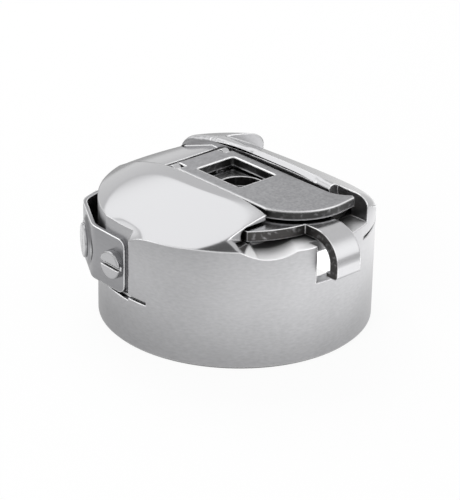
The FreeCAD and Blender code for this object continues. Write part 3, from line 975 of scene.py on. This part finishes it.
@dataclass
class Tension:
    """Leaf spring with its fixing screw and adjusting screw."""

    leaf: MetalFinish = MetalFinish(
        "rolled_leaf_steel",
        "leaf_steel",
        (0.3, 0.3, 0.31),
        0.3,
        Grain.ROLLED,
        tone_spread=0.12,
        edge_highlight=0.85,
    )
    screw: MetalFinish = MetalFinish(
        "screw_steel",
        "screw_steel",
        (0.44, 0.44, 0.45),
        0.22,
        Grain.TURNED,
        # Strong painted shade in the screw slots
        crevice_shade_reach=1.0 * MM,
        crevice_shade=1.0,
    )

    def dress(self) -> None:
        """Give every piece its finish."""
        dress("tension_spring", self.leaf)
        dress("tension_fixing_screw", self.screw)
        dress("tension_adjusting_screw", self.screw)


@dataclass(frozen=True)
class PhotoCamera:
    """Camera at the photograph's viewing angle."""

    azimuth: float = 47.0
    elevation: float = 24.97
    roll: float = 1.17
    target: Point = (-0.35, -0.375, 5.39)
    distance: float = 189.7
    lens: float = 156.69
    sensor: float = 36.0
    nearest: float = 0.01
    farthest: float = 10.0

    def place(self) -> None:
        """Make the camera and make it the scene's own."""
        turn = math.radians(self.azimuth)
        rise = math.radians(self.elevation)
        back = Vector((
            math.sin(turn) * math.cos(rise),
            -math.cos(turn) * math.cos(rise),
            math.sin(rise),
        ))
        data = bpy.data.cameras.new("photo_camera")
        data.lens = self.lens
        data.sensor_width = self.sensor
        data.clip_start = self.nearest
        data.clip_end = self.farthest
        camera = bpy.data.objects.new("photo_camera", data)
        bpy.context.scene.collection.objects.link(camera)
        facing = (-back).to_track_quat("-Z", "Y").to_matrix().to_4x4()
        rolled = facing @ Matrix.Rotation(math.radians(self.roll), 4, "Z")
        spot = Vector(self.target) * MM + back * self.distance * MM
        camera.matrix_world = Matrix.Translation(spot) @ rolled
        bpy.context.scene.camera = camera


@dataclass(frozen=True)
class SoftBox:
    """One rectangular lamp that faces a point near the case."""

    name: str
    place: Point
    size: tuple[float, float]
    power: float
    target: Point = (0.0, 0.0, 6.0)

    def hang(self) -> None:
        """Make the lamp."""
        data = bpy.data.lights.new(self.name, "AREA")
        data.shape = "RECTANGLE"
        data.size = self.size[0] * MM
        data.size_y = self.size[1] * MM
        data.energy = self.power
        lamp = bpy.data.objects.new(self.name, data)
        lamp.visible_glossy = False
        bpy.context.scene.collection.objects.link(lamp)
        spot = Vector(self.place) * MM
        aim = (Vector(self.target) * MM - spot).to_track_quat("-Z", "Y").to_matrix().to_4x4()
        lamp.matrix_world = Matrix.Translation(spot) @ aim


@dataclass(frozen=True)
class Panel:
    """One soft patch of the room that the steel mirrors, seen in a direction from the case."""

    name: str
    way: Point
    inner: float
    outer: float
    level: float

    def light(self, graph: Graph, way: Value) -> Value:
        """Brightness of the patch: full inside the inner angle and none past the outer one.

        Args:
            graph: Graph of the world.
            way: Direction that is looked in.

        Returns:
            Brightness that the patch adds.
        """
        aim = Vector(self.way).normalized()
        settings = {"operation": "DOT_PRODUCT"}
        turn = graph.node("ShaderNodeVectorMath", settings, {0: way, 1: aim})["Value"]
        edges = (math.cos(math.radians(self.outer)), math.cos(math.radians(self.inner)))
        return self.level * turn.step(*edges)


@dataclass(frozen=True)
class Studio:
    """White floor, white background, a softly graded room and lamps."""

    floor_half: float = 600.0 * MM
    floor_points: int = 3
    shadow_share: float = 0.08
    cup_inside: float = 10.8 * MM
    floor_close: float = 12.0 * MM
    floor_clear: float = 27.0 * MM
    floor_dim: float = 0.72
    floor_bright: float = 1.35
    floor_far: float = 46.0 * MM
    floor_faded: float = 0.42
    cup_level: float = 1.7
    floor_paint: Colour = (0.9, 0.9, 0.9)
    floor_tilt: float = 85.0 * MM
    tilt_range: Range = (0.84, 1.4)
    tilt_azimuth: float = 47.0
    room_level: float = 0.95
    ambient: float = 0.6
    panels: tuple[Panel, ...] = (
        Panel("over_facet", (-0.6, 0.15, 0.78), 19.0, 24.0, 0.75),
        Panel("low_left", (-0.9, 0.35, 0.0), 8.0, 30.0, 0.05),
        Panel("left_window", (-0.66, -0.61, 0.43), 12.0, 30.0, 0.6),
        Panel("dark_zenith", (-0.15, 0.0, 0.99), 7.0, 16.0, -0.8),
        Panel("right_window", (0.9, 0.35, 0.35), 15.0, 45.0, 0.8),
    )
    lamps: tuple[SoftBox, ...] = (
        SoftBox("key_softbox", (-140.0, 80.0, 190.0), (160.0, 160.0), 0.25),
        SoftBox("front_softbox", (60.0, -190.0, 120.0), (140.0, 90.0), 0.2),
    )

    def floor(self) -> None:
        """Lay the floor: a level grid, x and y even steps and z zero."""
        steps = np.linspace(-self.floor_half, self.floor_half, self.floor_points)
        x, y = np.meshgrid(steps, steps)
        points = np.stack([x, y, np.zeros_like(x)], axis=-1).reshape(-1, 3)
        count = self.floor_points
        start = (np.arange(count - 1)[:, None] * count + np.arange(count - 1)).ravel()
        faces = np.stack([start, start + 1, start + count + 1, start + count], axis=-1)
        mesh = bpy.data.meshes.new("studio_floor")
        mesh.from_pydata(points.tolist(), [], faces.tolist())
        floor = bpy.data.objects.new("studio_floor", mesh)
        bpy.context.scene.collection.objects.link(floor)
        mesh.materials.append(self.floor_material())
        floor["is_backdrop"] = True

    def floor_material(self) -> bpy.types.Material:
        """White floor that keeps part of the shadow and is graded in what the steel mirrors.

        In mirrored rays it is dim close to the wall, brighter farther out and towards the
        right of the picture, and white inside the cup.

        Returns:
            The new material.
        """
        made = bpy.data.materials.new("white_floor")
        made.use_nodes = True
        graph = Graph(made.node_tree)
        path = graph.node("ShaderNodeLightPath")
        glossy = path["Is Glossy Ray"]
        seen = path["Is Camera Ray"].at_least(path["Is Transmission Ray"])
        spot = graph.place()
        radius = graph.maths("SQRT", spot["X"] * spot["X"] + spot["Y"] * spot["Y"], 0.0)
        turn = math.radians(self.tilt_azimuth)
        side = spot["X"] * math.cos(turn) + spot["Y"] * math.sin(turn)
        clear = radius.step(self.floor_close, self.floor_clear)
        grade = self.floor_dim + (self.floor_bright - self.floor_dim) * clear
        fade = 1 - (1 - self.floor_faded) * radius.step(self.floor_clear, self.floor_far)
        least, most = self.tilt_range
        tilt = (1 + side / self.floor_tilt).at_least(least).at_most(most)
        outside = grade * fade * tilt
        inside = radius.step(self.floor_close, self.cup_inside)
        mirrored = outside * (1 - inside) + self.cup_level * inside
        strength = 1 - glossy + glossy * mirrored
        paint = graph.node("ShaderNodeBsdfDiffuse", {}, {"Color": (*self.floor_paint, 1.0)})["BSDF"]
        glow = graph.node("ShaderNodeEmission", {}, {"Color": strength})["Emission"]
        share = (seen * (1 - self.shadow_share)).at_least(glossy)
        mixed = graph.node("ShaderNodeMixShader", {}, {0: share, 1: paint, 2: glow})["Shader"]
        graph.node("ShaderNodeOutputMaterial", {}, {"Surface": mixed})
        return made

    def room(self) -> None:
        """Light the room: white behind the case, and soft patches in what the steel mirrors."""
        world = bpy.data.worlds.new("studio_room")
        world.use_nodes = True
        bpy.context.scene.world = world
        graph = Graph(world.node_tree)
        path = graph.node("ShaderNodeLightPath")
        way = graph.node("ShaderNodeTexCoord")["Generated"]
        grade: Operand = self.room_level
        for panel in self.panels:
            grade = grade + panel.light(graph, way)
        glossy = path["Is Glossy Ray"]
        clear = path["Is Camera Ray"].at_least(path["Is Transmission Ray"])
        rest = (1 - glossy) * self.ambient + glossy * grade
        strength = clear + (1 - clear) * rest
        lit = graph.node("ShaderNodeBackground", {}, {"Color": strength})["Background"]
        graph.node("ShaderNodeOutputWorld", {}, {"Surface": lit})

    def build(self) -> None:
        """Make the floor, the room and the lamps."""
        self.floor()
        self.room()
        for lamp in self.lamps:
            lamp.hang()
        bpy.context.scene.view_settings.view_transform = "Standard"


def main() -> None:
    """Dress the case, set up the studio and log the names of the pieces shown."""
    logging.basicConfig(level=logging.INFO, format="%(message)s")
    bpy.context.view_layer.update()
    for group in (Cup(), Latch(), Tension()):
        group.dress()
    PhotoCamera().place()
    Studio().build()
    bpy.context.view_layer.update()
    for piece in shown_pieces():
        LOG.info("piece %s", piece.name)


if __name__ == "__main__":
    main()
